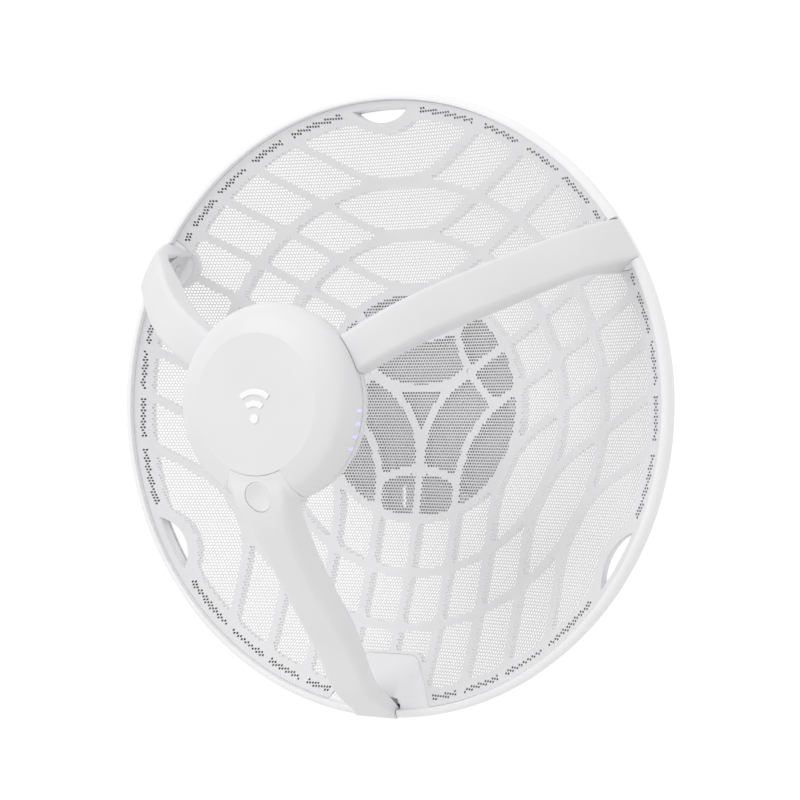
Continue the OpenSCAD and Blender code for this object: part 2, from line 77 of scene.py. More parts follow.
def turned(points, degrees):
    """Points turned about the dish's axis."""
    a = math.radians(degrees)
    p = np.asarray(points, float)
    x = p[:, 0] * math.cos(a) - p[:, 1] * math.sin(a)
    y = p[:, 0] * math.sin(a) + p[:, 1] * math.cos(a)
    return np.stack([x, y, p[:, 2]], axis=1)


def smooth_path(knots, n):
    """Catmull-Rom through given points, n steps a span."""
    k = [np.array(q, float) for q in knots]
    k = [2 * k[0] - k[1]] + k + [2 * k[-1] - k[-2]]
    out = []
    for a, b, c, d in zip(k, k[1:], k[2:], k[3:]):
        for i in range(n):
            t = i / n
            out.append(0.5 * (2 * b + (c - a) * t + (2 * a - 5 * b + 4 * c - d) * t * t
                              + (3 * b - a - 3 * c + d) * t ** 3))
    out.append(k[-2])
    return np.array(out)


# ---- Materials ----

def new_material(name):
    m = bpy.data.materials.new(name)
    m.use_nodes = True
    m.node_tree.nodes.clear()
    out = m.node_tree.nodes.new("ShaderNodeOutputMaterial")
    shader = m.node_tree.nodes.new("ShaderNodeBsdfPrincipled")
    m.node_tree.links.new(shader.outputs["BSDF"], out.inputs["Surface"])
    return m, m.node_tree, shader


def noise(tree, scale, detail=3.0, rough=0.5):
    """Noise in the object's own space, with scale in cells per metre."""
    where = tree.nodes.new("ShaderNodeTexCoord")
    n = tree.nodes.new("ShaderNodeTexNoise")
    n.inputs["Scale"].default_value = scale
    n.inputs["Detail"].default_value = detail
    n.inputs["Roughness"].default_value = rough
    tree.links.new(where.outputs["Object"], n.inputs["Vector"])
    return n


def ramp(tree, source, low, high, a=0.35, b=0.65):
    r = tree.nodes.new("ShaderNodeValToRGB")
    r.color_ramp.elements[0].position = a
    r.color_ramp.elements[1].position = b
    r.color_ramp.elements[0].color = (*low, 1.0)
    r.color_ramp.elements[1].color = (*high, 1.0)
    tree.links.new(source, r.inputs["Fac"])
    return r.outputs["Color"]


def span(tree, source, low, high):
    m = tree.nodes.new("ShaderNodeMapRange")
    m.inputs["To Min"].default_value = low
    m.inputs["To Max"].default_value = high
    tree.links.new(source, m.inputs["Value"])
    return m.outputs["Result"]


def bump(tree, shader, source, strength, distance):
    b = tree.nodes.new("ShaderNodeBump")
    b.inputs["Strength"].default_value = strength
    b.inputs["Distance"].default_value = distance
    tree.links.new(source, b.inputs["Height"])
    tree.links.new(b.outputs["Normal"], shader.inputs["Normal"])


def tinted(colour, by):
    return tuple(min(1.0, max(0.0, c * (1 + by))) for c in colour)


def surface(name, colour, tint, cloud, rough, grain, strength, depth, metallic=0.0, specular=0.5):
    """A surface with cloudy colour, uneven gloss and a fine grain."""
    m, tree, shader = new_material(name)
    clouds = noise(tree, cloud, 4.0)
    tree.links.new(ramp(tree, clouds.outputs["Fac"], tinted(colour, -tint), tinted(colour, tint)),
                   shader.inputs["Base Color"])
    fine = noise(tree, grain, 2.0, 0.6)
    tree.links.new(span(tree, fine.outputs["Fac"], rough[0], rough[1]), shader.inputs["Roughness"])
    bump(tree, shader, fine.outputs["Fac"], strength, depth)
    shader.inputs["Metallic"].default_value = metallic
    shader.inputs["Specular IOR Level"].default_value = specular
    return m, shader


def moulded(name, colour, rough=(0.38, 0.5)):
    """Moulded plastic with a fine spark-eroded grain."""
    m, shader = surface(name, colour, 0.012, 24.0, rough, 1500.0, 0.10, 0.00006)
    shader.inputs["Subsurface Weight"].default_value = 0.04
    shader.inputs["Subsurface Radius"].default_value = (0.002, 0.002, 0.002)
    return m


def painted(name, colour):
    """Powder coat with slight orange peel."""
    return surface(name, colour, 0.012, 30.0, (0.42, 0.56), 900.0, 0.12, 0.00008)[0]


def metal(name, colour, rough, grain=1200.0):
    return surface(name, colour, 0.05, 90.0, rough, grain, 0.14, 0.00006, metallic=1.0)[0]


def rubber(name, colour):
    return surface(name, colour, 0.12, 60.0, (0.62, 0.8), 1400.0, 0.2, 0.00008, specular=0.3)[0]


def glossy(name, colour, rough=(0.05, 0.12)):
    m, shader = surface(name, colour, 0.01, 40.0, rough, 500.0, 0.02, 0.00002)
    shader.inputs["Coat Weight"].default_value = 0.6
    shader.inputs["Coat Roughness"].default_value = 0.04
    return m


def lit(name, colour, glow, power):
    m, shader = surface(name, colour, 0.06, 300.0, (0.2, 0.3), 900.0, 0.03, 0.00002)
    shader.inputs["Emission Color"].default_value = (*glow, 1.0)
    shader.inputs["Emission Strength"].default_value = power
    return m


def board_mask(name, colour):
    """Solder mask over copper tracks."""
    m, tree, shader = new_material(name)
    where = tree.nodes.new("ShaderNodeTexCoord")
    tracks = tree.nodes.new("ShaderNodeTexBrick")
    tracks.inputs["Scale"].default_value = 260.0
    tracks.inputs["Mortar Size"].default_value = 0.03
    tracks.inputs["Color1"].default_value = (*tinted(colour, 0.35), 1)
    tracks.inputs["Color2"].default_value = (*colour, 1)
    tracks.inputs["Mortar"].default_value = (*tinted(colour, -0.35), 1)
    tree.links.new(where.outputs["Object"], tracks.inputs["Vector"])
    tree.links.new(tracks.outputs["Color"], shader.inputs["Base Color"])
    fine = noise(tree, 800.0)
    tree.links.new(span(tree, fine.outputs["Fac"], 0.25, 0.4), shader.inputs["Roughness"])
    bump(tree, shader, tracks.outputs["Fac"], 0.2, 0.00005)
    return m


MATERIALS = {
    "sheet_paint": painted("sheet_paint", (0.78, 0.78, 0.79)),
    "frame_plastic": moulded("frame_plastic", (0.87, 0.87, 0.88)),
    "plate_paint": painted("plate_paint", (0.64, 0.64, 0.65)),
    "cast_alloy": metal("cast_alloy", (0.70, 0.71, 0.73), (0.34, 0.52)),
    "brass": metal("brass", (0.80, 0.62, 0.30), (0.22, 0.36)),
    "steel": metal("steel", (0.64, 0.65, 0.67), (0.24, 0.4)),
    "arm_plastic": moulded("arm_plastic", (0.74, 0.74, 0.75)),
    "housing_plastic": moulded("housing_plastic", (0.76, 0.76, 0.77), (0.34, 0.46)),
    "cover_plastic": moulded("cover_plastic", (0.79, 0.79, 0.80), (0.34, 0.46)),
    "emblem_gloss": glossy("emblem_gloss", (0.92, 0.92, 0.93)),
    "led_window": lit("led_window", (0.70, 0.69, 0.92), (0.42, 0.39, 1.0), 0.35),
    "led_chip": lit("led_chip", (0.60, 0.56, 0.95), (0.34, 0.30, 1.0), 2.0),
    "rubber": rubber("rubber", (0.03, 0.03, 0.032)),
    "radome": moulded("radome", (0.82, 0.82, 0.83)),
    "board": board_mask("board", (0.03, 0.16, 0.08)),
    "ceramic": surface("ceramic", (0.78, 0.70, 0.56), 0.03, 200.0, (0.5, 0.65), 1500.0, 0.1, 0.00004)[0],
    "switch_plastic": moulded("switch_plastic", (0.06, 0.06, 0.065), (0.4, 0.5)),
}


def dress_cad_nodes():
    """Gives each CAD node the material of its slot."""
    for part in frame["record"]["subparts"]:
        node = frame["nodes"][part["node"]]
        for holder in node.material_slots:
            holder.link = "OBJECT"
            holder.material = MATERIALS[part["material_slot"]]


# ---- Meshes ----

def finish_mesh(mesh, name, body, slot, replaces=(), sharp=35.0):
    """Makes the piece from a finished mesh, shaded smooth but for its sharp edges."""
    mesh.validate()
    mesh.polygons.foreach_set("use_smooth", [True] * len(mesh.polygons))
    mesh.set_sharp_from_angle(angle=math.radians(sharp))
    mesh.update()
    piece = bpy.data.objects.new(name, mesh)
    bpy.context.scene.collection.objects.link(piece)
    mesh.materials.append(MATERIALS[slot])
    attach(piece, body)
    if replaces:
        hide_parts(*replaces)
    return piece


def mesh_from(name, points, faces):
    """A mesh from dish-axis points in millimetres and faces."""
    mesh = bpy.data.meshes.new(name)
    mesh.from_pydata([tuple(p) for p in place(points)], [], [tuple(f) for f in faces])
    return mesh


def outward(mesh):
    """Turns every face outward on a closed mesh."""
    work = bmesh.new()
    work.from_mesh(mesh)
    bmesh.ops.remove_doubles(work, verts=work.verts, dist=1e-6)
    bmesh.ops.recalc_face_normals(work, faces=work.faces)
    work.to_mesh(mesh)
    work.free()
    return mesh


def swept_ring(rings, closed_path=False):
    """Faces between equal rings of points, with caps on an open path."""
    n, m = len(rings[0]), len(rings)
    points = np.concatenate(rings)
    faces = []
    for j in range(m if closed_path else m - 1):
        k = (j + 1) % m
        for i in range(n):
            i2 = (i + 1) % n
            faces.append((j * n + i, j * n + i2, k * n + i2, k * n + i))
    if not closed_path:
        faces.append(tuple(range(n)))
        faces.append(tuple((m - 1) * n + i for i in reversed(range(n))))
    return points, faces


def lathe(profile, start=0.0, stop=360.0, steps=256):
    """A closed profile of (r, z) turned about the dish's axis, with caps if it isn't a whole turn."""
    p = np.array(profile, float)
    whole = stop - start >= 359.999
    angles = np.linspace(start, stop, steps, endpoint=not whole)
    rings = []
    for a in np.radians(angles):
        rings.append(np.stack([p[:, 0] * math.cos(a), p[:, 0] * math.sin(a), p[:, 1]], axis=1))
    return swept_ring(rings, closed_path=whole)


def joined(parts):
    """Several (points, faces) pairs as one."""
    points, faces, base = [], [], 0
    for p, f in parts:
        points.append(np.asarray(p, float))
        faces += [tuple(i + base for i in face) for face in f]
        base += len(p)
    return np.concatenate(points), faces


def arc(cx, cz, r, a0, a1, n):
    return [(cx + r * math.cos(math.radians(a)), cz + r * math.sin(math.radians(a)))
            for a in np.linspace(a0, a1, n)]


def bevelled(piece, width, segments=2, angle=50.0):
    m = piece.modifiers.new("edge", "BEVEL")
    m.width = width * MM
    m.segments = segments
    m.limit_method = "ANGLE"
    m.angle_limit = math.radians(angle)
    m.harden_normals = True
    return piece


# ---- The dish's plan: distances to its bands, slots and pads ----

RIB_PITCH = 30.0
BEND_R = 72.0
RINGS = (78.8, 114.6, 149.6)
EYE_R, EYE_Y = 31.2, BOWL_R + 18.7


def in_frame_of(x, y, degrees):
    """Coordinates with +Y along the direction given."""
    a = math.radians(degrees - 90.0)
    return x * math.cos(a) + y * math.sin(a), -x * math.sin(a) + y * math.cos(a)


def to_bent_rib(x, y, off):
    """Distance to a rib that runs beside one arm, bends round and leaves beside the next."""
    yc = (off + BEND_R) / C30
    ax = np.abs(x)
    bend = np.abs(np.hypot(ax, y - yc) - BEND_R)
    line = np.abs(-S30 * ax + C30 * y - off)
    tip_x, tip_y = BEND_R * 0.5, yc - BEND_R * C30
    on_bend = ax * C30 + (y - yc) * S30 < 0
    before = ax * C30 + (y - yc) * S30
    if off == 0:
        return np.where(before < 0, bend, np.hypot(ax - tip_x, y - tip_y))
    return np.where(on_bend, bend, line)


def to_hub_arc(x, y):
    """Distance to the short arc that crosses an arm's direction inside the hub; arm along +Y."""
    ring = np.abs(np.hypot(x, y - 113.0) - 68.0)
    return np.where((np.abs(x) < RIB_PITCH) & (y < 80), ring, 1e3)


def smooth_min(a, b, k):
    h = np.clip(0.5 + 0.5 * (b - a) / k, 0, 1)
    return b * (1 - h) + a * h - k * h * (1 - h)


def eye_distance(x, y):
    """Signed distance to the nearest lens-shaped slot, negative inside it."""
    best = np.full(np.shape(x), 1e3)
    for s in SECTORS:
        u, v = in_frame_of(x, y, s)
        lens = np.maximum(np.hypot(u, v) - (BOWL_R - 3.5), np.hypot(u, v - EYE_Y) - EYE_R)
        best = np.minimum(best, lens)
    return best


def round_pad(x, y):
    """Signed distance to the pad of an upper arm; arm along +Y."""
    return np.hypot(x, y - BOWL_R - 1.0) - 18.0


def flared_pad(x, y):
    """Signed distance to the pad of the lower arm; arm along +Y."""
    inner = (BOWL_R - 33.0) - y
    side = (np.abs(x) - 29.0) * 0.857 - (y - (BOWL_R - 18.0)) * 0.515
    return -smooth_min(-inner, -side, 5.0)


def pad_distance(x, y):
    """Signed distance to the nearest foot pad, negative inside it."""
    return np.minimum.reduce([(flared_pad if a == 270 else round_pad)(*in_frame_of(x, y, a)) for a in ARMS])


def band_distance(x, y, k):
    """Distance to the nearest band's centre line, blended over k where bands meet."""
    lines = []
    for s in SECTORS:
        u, v = in_frame_of(x, y, s)
        lines += [to_bent_rib(u, v, i * RIB_PITCH) for i in range(5)]
    r = np.hypot(x, y)
    for a in ARMS:
        u, v = in_frame_of(x, y, a)
        lines.append(np.where(v > BEND_R * math.tan(math.pi / 6), np.abs(u), 1e3))
        lines.append(to_hub_arc(u, v))
    lines += [np.abs(r - q) for q in RINGS]
    best = lines[0]
    for line in lines[1:]:
        best = smooth_min(best, line, k)
    return best


# ---- Perforated sheet ----

HOLE_PITCH, ROW_PITCH = 2.02, 2.0
HOLE_R = 0.79
BAND_HALF = 2.2
HOLE_SIDES = 12
CELL_R = HOLE_PITCH / math.sqrt(3)
CELL_HIGH = ROW_PITCH / 1.5
SHEET_PARTS = 8


def strip_is_open(x, y):
    """The strip of holes beside the rim, which stops where the bands meet it and at slots and pads."""
    r = np.hypot(x, y)
    clear = (band_distance(x, y, 0.5) > 2.8) & (eye_distance(x, y) > 8.0) & (pad_distance(x, y) > 3.0)
    return (r > 193.9) & (r < 196.9) & clear


def sheet_field(x, y):
    """Negative on the sheet's plan: inside its rim, outside the slots and the pads."""
    return np.maximum.reduce([np.hypot(x, y) - SHEET_R, 0.2 - eye_distance(x, y),
                              0.4 - pad_distance(x, y), 1.7 - np.hypot(np.abs(x) - 38.0, y - 22.5)])


def hole_radius(x, y):
    """Radius of the hole at a cell's centre: smaller beside a band, and nothing on it."""
    r = np.hypot(x, y)
    edge = band_distance(x, y, 4.0) - BAND_HALF
    edge = smooth_min(edge, 190.0 - r, 5.0)
    edge = smooth_min(edge, eye_distance(x, y) - 6.5, 5.0)
    edge = smooth_min(edge, pad_distance(x, y) - 2.0, 3.0)
    edge = np.minimum(edge, np.hypot(np.abs(x) - 38.0, y - 22.5) - 3.4)
    inside = np.where(edge > 0.4, np.clip(edge + 0.1, 0.62, HOLE_R), 0.0)
    radius = np.where(strip_is_open(x, y), HOLE_R, inside)
    return np.where(sheet_field(x, y) < -1.5 * CELL_R, radius, 0.0)


def slide_to_edge(field, x, y, rounds=3):
    """Moves points onto the field's zero line along its gradient."""
    step = 0.02
    for _ in range(rounds):
        f = field(x, y)
        gx = (field(x + step, y) - field(x - step, y)) / (2 * step)
        gy = (field(x, y + step) - field(x, y - step)) / (2 * step)
        g = np.maximum(gx * gx + gy * gy, 0.25)
        x, y = x - f * gx / g, y - f * gy / g
    return x, y


def sheet_lattice():
    """Hexagonal cells that cover the sheet: centres, corner points, corner indices and hole radii."""
    rows = int(SHEET_R / ROW_PITCH) + 2
    columns = int(SHEET_R / HOLE_PITCH) + 2
    j, i = np.meshgrid(np.arange(-rows, rows + 1), np.arange(-columns, columns + 1), indexing="ij")
    cx = (i + 0.5 * (j % 2)).ravel() * HOLE_PITCH
    cy = j.ravel() * ROW_PITCH
    keep = sheet_field(cx, cy) < -0.35
    cx, cy = cx[keep], cy[keep]
    turn = np.radians(30 + 60 * np.arange(6))
    px = cx[:, None] + CELL_R * np.cos(turn)
    py = cy[:, None] + CELL_HIGH * np.sin(turn)
    keys = np.round(np.stack([px.ravel(), py.ravel()], axis=1) * 47.3).astype(np.int64)
    _, first, corner = np.unique(keys, axis=0, return_index=True, return_inverse=True)
    corner = corner.reshape(-1, 6)
    x, y = px.ravel()[first], py.ravel()[first]
    shared = np.bincount(corner.ravel(), minlength=len(x))
    loose = shared < 3
    x[loose], y[loose] = slide_to_edge(sheet_field, x[loose], y[loose])
    return cx, cy, x, y, corner, hole_radius(cx, cy)


def both_faces(x, y):
    """Front and back points of the sheet over plan points."""
    r = np.hypot(x, y)
    slope = 2 * BOWL_DEPTH * r / BOWL_R ** 2
    k = SHEET_T / np.sqrt(1 + slope ** 2)
    out = slope * k / np.maximum(r, 1e-6)
    front = np.stack([x, y, sheet_z(r)], axis=1)
    back = np.stack([x * (1 + out), y * (1 + out), sheet_z(r) - k], axis=1)
    return front, back


def sheet_part(name, cells, lattice):
    """One part of the perforated sheet as a solid with real holes."""
    cx, cy, x, y, corner, radius = lattice
    used, local = np.unique(corner[cells], return_inverse=True)
    local = local.reshape(-1, 6)
    n = len(used)
    opened = np.nonzero(radius[cells] > 0)[0]
    size = radius[cells][opened][:, None]
    turn = np.radians(30 + 360.0 / HOLE_SIDES * np.arange(HOLE_SIDES))
    hx = (cx[cells][opened][:, None] + size * np.cos(turn)).ravel()
    hy = (cy[cells][opened][:, None] + size * np.sin(turn)).ravel()
    corner_front, corner_back = both_faces(x[used], y[used])
    hole_front, hole_back = both_faces(hx, hy)
    points = np.concatenate([corner_front, corner_back, hole_front, hole_back])
    h0, hb = 2 * n, 2 * n + len(hx)
    faces = []
    per = HOLE_SIDES // 6
    for row, cell in enumerate(opened):
        ring = local[cell]
        base = row * HOLE_SIDES
        for k in range(6):
            a, b = ring[k], ring[(k + 1) % 6]
            rim = [base + (k * per + q) % HOLE_SIDES for q in range(per + 1)]
            faces.append((a, b, *[h0 + q for q in reversed(rim)]))
            faces.append((b + n, a + n, *[hb + q for q in rim]))
        for k in range(HOLE_SIDES):
            a, b = base + k, base + (k + 1) % HOLE_SIDES
            faces.append((h0 + a, h0 + b, hb + b, hb + a))
    for cell in np.nonzero(radius[cells] == 0)[0]:
        ring = local[cell]
        faces.append(tuple(ring))
        faces.append(tuple(q + n for q in ring[::-1]))
    a, b = local.ravel(), np.roll(local, -1, axis=1).ravel()
    edges = set(zip(a.tolist(), b.tolist()))
    faces += [(q, p, p + n, q + n) for p, q in edges if (q, p) not in edges]
    finish_mesh(mesh_from(name, points, faces), name, "root", "sheet_paint", ("reflector_sheet",))


def reflector():
    """The sheet in sectors, so that each stays a light mesh."""
    lattice = sheet_lattice()
    angle = np.degrees(np.arctan2(lattice[1], lattice[0])) % 360
    for k in range(SHEET_PARTS):
        cells = np.nonzero((angle * SHEET_PARTS // 360).astype(int) == k)[0]
        sheet_part(f"reflector_sheet_{k + 1}", cells, lattice)


# ---- Solids over plan areas ----

def plan_solid(field, window, step, top, low):
    """Points and faces of the solid between two heights, over the plan area where the field is negative."""
    x0, x1, y0, y1 = window
    xs, ys = np.arange(x0, x1 + step, step), np.arange(y0, y1 + step, step)
    x, y = np.meshgrid(xs, ys)
    f = field(x, y)
    f = np.where(np.abs(f) < 1e-4, 1e-4, f)
    inside = f < 0
    rows, cols = f.shape
    ident = np.full((3, rows, cols), -1, int)
    px, py, count = [], [], 0
    ident[0][inside] = np.arange(inside.sum())
    px.append(x[inside])
    py.append(y[inside])
    count = int(inside.sum())
    for kind, shift in ((1, (0, 1)), (2, (1, 0))):
        near = (slice(0, rows - shift[0]), slice(0, cols - shift[1]))
        far = (slice(shift[0], rows), slice(shift[1], cols))
        cross = inside[near] != inside[far]
        t = np.where(cross, f[near] / np.where(cross, f[near] - f[far], 1.0), 0.0)
        cx = x[near] + t * (x[far] - x[near])
        cy = y[near] + t * (y[far] - y[near])
        holder = np.full(cross.shape, -1, int)
        holder[cross] = count + np.arange(cross.sum())
        ident[kind][near] = holder
        px.append(cx[cross])
        py.append(cy[cross])
        count += int(cross.sum())
    px, py = np.concatenate(px), np.concatenate(py)
    points = np.concatenate([np.stack([px, py, top(px, py)], axis=1),
                             np.stack([px, py, low(px, py)], axis=1)])
    some = inside[:-1, :-1] | inside[1:, :-1] | inside[:-1, 1:] | inside[1:, 1:]
    faces = []
    for i, j in zip(*np.nonzero(some)):
        corners = ((i, j), (i, j + 1), (i + 1, j + 1), (i + 1, j))
        edges = (ident[1][i, j], ident[2][i, j + 1], ident[1][i + 1, j], ident[2][i, j])
        loop, crossing = [], []
        for k in range(4):
            a = inside[corners[k]]
            if a:
                loop.append(int(ident[0][corners[k]]))
            if a != inside[corners[(k + 1) % 4]]:
                loop.append(int(edges[k]))
                crossing.append((int(edges[k]), bool(a)))
        faces.append(tuple(loop))
        faces.append(tuple(q + count for q in reversed(loop)))
        for k, (edge, leaving) in enumerate(crossing):
            if leaving:
                after = crossing[(k + 1) % len(crossing)][0]
                faces.append((after, edge, edge + count, after + count))
    return points, faces


def carved(mesh, cutters, mode="DIFFERENCE", crossing=False):
    """The mesh with the cutter meshes taken away, or kept in common, or added."""
    body = bpy.data.objects.new("carve_body", mesh)
    bpy.context.scene.collection.objects.link(body)
    tools = []
    for cutter in cutters:
        tool = bpy.data.objects.new("carve_tool", cutter)
        bpy.context.scene.collection.objects.link(tool)
        m = body.modifiers.new("cut", "BOOLEAN")
        m.object = tool
        m.operation = mode
        m.solver = "EXACT"
        m.use_self = crossing
        tools.append(tool)
    bpy.context.view_layer.update()
    shown = body.evaluated_get(bpy.context.evaluated_depsgraph_get())
    result = bpy.data.meshes.new_from_object(shown)
    result.name = mesh.name
    for tool in tools + [body]:
        bpy.data.objects.remove(tool)
    return result


def prism(outline, z0, z1, name="prism"):
    """A closed mesh over an outline of (x, y) between two heights."""
    p = np.asarray(outline, float)
    rings = [np.column_stack([p, np.full(len(p), z)]) for z in (z0, z1)]
    return outward(mesh_from(name, *swept_ring(rings)))


def box_mesh(x0, x1, y0, y1, z0, z1):
    return prism([(x0, y0), (x1, y0), (x1, y1), (x0, y1)], z0, z1)


def rod_mesh(centre, r, z0, z1, steps=96):
    x, y = centre
    turn = np.linspace(0, 2 * math.pi, steps, False)
    return prism([(x + r * math.cos(a), y + r * math.sin(a)) for a in turn], z0, z1)


def mesh_turned(mesh, degrees):
    """A placed mesh turned about the dish's axis."""
    mesh.transform(Matrix.Rotation(math.radians(-degrees), 4, "Y"))
    return mesh


# ---- Dish frame ----

BEAD_IN = SHEET_R + 0.3
LEDGE = BOWL_R - 10.0
NOTCH_Z = -3.0
NOTCH_IN = BOWL_R - 1.6
NOTCH_HALF = 15.0
# The cover's heel turns through the lower notch, so it is deeper, wider and starts further in.
HEEL_NOTCH_Z = NOTCH_Z - 1.8
HEEL_NOTCH_IN = BOWL_R - 3.2
HEEL_NOTCH_HALF = 16.0
PAD_STEP_R = BOWL_R - 2.6
PAD_STEP_HALF = 17.0
PAD_LIFT = 0.6


def rib_top(r):
    return sheet_z(r) - SHEET_T - 0.1


def rib_low(r):
    return np.maximum(rib_top(r) - 13.0 + 5.0 * r / BOWL_R, BACK_PLATE_Z + 0.2)


def over_r(height):
    return lambda x, y: height(np.hypot(x, y))


def rib_field(x, y):
    r = np.hypot(x, y)
    return np.maximum.reduce([band_distance(x, y, 3.0) - 1.5, r - (BOWL_R - 0.5), -eye_distance(x, y)])


def ease(t):
    t = np.clip(t, 0, 1)
    return t * t * (3 - 2 * t)


def foot_mound(x, y):
    """How far the lower arm's pad swells beside its foot; arm along +Y."""
    fall = np.where(np.abs(x) < 16.6, (195.5 - y) / 4.0, (201.0 - y) / 12.0)
    return 10.0 * ease((27.0 - np.abs(x)) / 12.0) * ease((y - 165.0) / 15.0) * ease(fall)


def foot_pad(shape):
    """One foot pad with a soft edge, lowered under the cover's heel; arm along +Y."""
    swell = foot_mound if shape is flared_pad else over_r(lambda r: 0.0 * r)

    def field(x, y):
        return np.maximum(shape(x, y), np.hypot(x, y) - BEAD_IN - 0.5)

    def top(x, y):
        inward = np.clip(-field(x, y) / 3.0, 0, 1)
        z = sheet_z(np.hypot(x, y)) - 0.5 + (PAD_LIFT + 0.5) * np.sin(inward * math.pi / 2) + swell(x, y)
        stepped = (shape is flared_pad) & (np.hypot(x, y) > PAD_STEP_R) & (np.abs(x) < PAD_STEP_HALF)
        return np.where(stepped, np.minimum(z, HEEL_NOTCH_Z), z)

    return plan_solid(field, (-44, 44, 162, 204), 0.6, top, over_r(lambda r: sheet_z(r) - 11.0))


def eye_outline():
    """The slot in the sector at +Y as an outline."""
    outer = BOWL_R - 3.5
    y = (outer ** 2 - EYE_R ** 2 + EYE_Y ** 2) / (2 * EYE_Y)
    x = math.sqrt(outer ** 2 - y ** 2)
    low = math.atan2(y - EYE_Y, -x), math.atan2(y - EYE_Y, x)
    high = math.atan2(y, x), math.atan2(y, -x)
    return ([(EYE_R * math.cos(a), EYE_Y + EYE_R * math.sin(a)) for a in np.linspace(*low, 24)]
            + [(outer * math.cos(a), outer * math.sin(a)) for a in np.linspace(*high, 16)][1:-1])


def frame_rim():
    """The rolled rim with its skirt and the channel behind the strip of holes."""
    cx, r = RIM_R - 4.0, 4.0
    outer = math.degrees(math.acos((RIM_R - 1.4 - cx) / r))
    lip = BEAD_IN + 0.35
    profile = [(198.4, rib_top(198.4)), (BOWL_R, rib_top(BOWL_R)), (BEAD_IN, rib_top(BOWL_R)), (BEAD_IN, 2.9)]
    profile += arc(cx, 0, r, math.degrees(math.acos((lip - cx) / r)), -outer, 20)
    profile += [(RIM_R - 1.4, -8.6), (RIM_R - 1.8, -9), (BEAD_IN, -9), (BEAD_IN - 1, -13), (LEDGE + 0.8, -13),
                (LEDGE + 0.8, rib_top(LEDGE + 0.8)), (192.2, rib_top(192.2)), (192.2, -11.6), (198.4, -11.6)]
    rim = outward(mesh_from("rim", *lathe(profile, steps=360)))
    notches = []
    for a in ARMS:
        start, half, floor = NOTCH_IN, NOTCH_HALF, NOTCH_Z
        if a == 270:
            start, half, floor = HEEL_NOTCH_IN, HEEL_NOTCH_HALF, HEEL_NOTCH_Z
        notches.append(mesh_turned(box_mesh(start, RIM_R + 5, -half, half, floor, 30), a))
    for s in SECTORS:
        notches.append(mesh_turned(prism(eye_outline(), -30, 20), s - 90))
    return carved(rim, notches)


def dish_frame():
    bevelled(finish_mesh(frame_rim(), "dish_rim", "root", "frame_plastic", ("dish_frame",), 30), 0.4)

    ribs = plan_solid(rib_field, (-BOWL_R, BOWL_R, -BOWL_R, BOWL_R), 1.0, over_r(rib_top), over_r(rib_low))
    hub = lathe([(77.3, rib_top(77.3) - 0.1), (77.3, BACK_PLATE_Z + 0.2), (80.3, BACK_PLATE_Z + 0.2),
                 (80.3, rib_top(80.3) - 0.3)], steps=180)
    finish_mesh(outward(mesh_from("ribs", *joined([ribs, hub]))), "dish_ribs", "root", "frame_plastic",
                ("dish_frame",), 40)

    eye = plan_solid(lambda x, y: np.maximum.reduce([eye_distance(x, y) - 6.5, -eye_distance(x, y),
                                                     np.hypot(x, y) - BEAD_IN - 0.5]),
                     (-46, 46, 172, 204), 0.8, over_r(rib_top), over_r(lambda r: sheet_z(r) - 8.0))
    walls = [(turned(eye[0], s - 90), eye[1]) for s in SECTORS]
    finish_mesh(outward(mesh_from("eyes", *joined(walls))), "dish_slot_walls", "root", "frame_plastic",
                ("dish_frame",), 40)
    pads = [foot_pad(flared_pad if a == 270 else round_pad) for a in ARMS]
    pads = [(turned(pad[0], a - 90), pad[1]) for a, pad in zip(ARMS, pads)]
    finish_mesh(outward(mesh_from("pads", *joined(pads))), "dish_foot_pads", "root", "frame_plastic",
                ("dish_frame",), 40)

    rods = []
    for a in range(0, 360, 60):
        centre = (74.5 * math.cos(math.radians(a)), 74.5 * math.sin(math.radians(a)))
        rods.append(lathe([(1.35, BACK_PLATE_Z + 0.2), (4.2, BACK_PLATE_Z + 0.2), (4.2, rib_top(74.5) - 1.2),
                           (1.35, rib_top(74.5) - 1.2)], steps=48))
        rods[-1] = (rods[-1][0] + np.array([centre[0], centre[1], 0.0]), rods[-1][1])
    finish_mesh(outward(mesh_from("rods", *joined(rods))), "dish_hub_bosses", "root", "frame_plastic",
                ("dish_frame",), 30)


# ---- Arms ----

ARM_LINE = [(56, 126), (84, 120), (111, 107), (134, 89), (153, 71), (170, 54), (186, 37), (198, 17),
            (204.5, 3), (205.5, -2)]
FRONT_EDGE = [(41, 0), (43.5, -0.3), (53.5, -3.8), (57.4, -7.2), (60.1, -12.2), (61, -17.5), (60.7, -22),
              (59.8, -25.7)]
REAR_EDGE = [(59.7, 120.7), (58.6, 114), (55, 108), (48, 103.6), (40, 101.5), (30, 100.8)]


def puck_cutter(grow):
    rim = smooth_path([(r, PUCK_FRONT + z) for r, z in FRONT_EDGE] + REAR_EDGE, 3)
    step = np.gradient(rim, axis=0)
    out = np.stack([-step[:, 1], step[:, 0]], axis=1) / np.linalg.norm(step, axis=1)[:, None]
    rim = rim + out * grow * (1 if out[3, 1] > 0 else -1)
    profile = [(0.01, rim[0][1])] + [tuple(q) for q in rim] + [(0.01, rim[-1][1])]
    return outward(mesh_from("cutter", *lathe(profile, steps=160)))


def normals_of(path):
    step = np.gradient(path, axis=0)
    return np.stack([step[:, 1], -step[:, 0]], axis=1) / np.linalg.norm(step, axis=1)[:, None]


def bed_z(r):
    """The surface under an arm's foot."""
    return np.where(r < BOWL_R - 1.9, sheet_z(r) + PAD_LIFT + 0.1, NOTCH_Z + 0.3)


# Where an arm starts to bend back to its heel, its wall, and the tongue that holds it to the radio
FOOT_R = 187
ARM_WALL = 2.4
TONGUE = (58.0, 67.0, -8, 8, 113, 119)
# Half width of the channel under the cover, and how far its edge stays behind the cover's skin
BASE_HALF = 10.4
BASE_BEHIND = 6.4


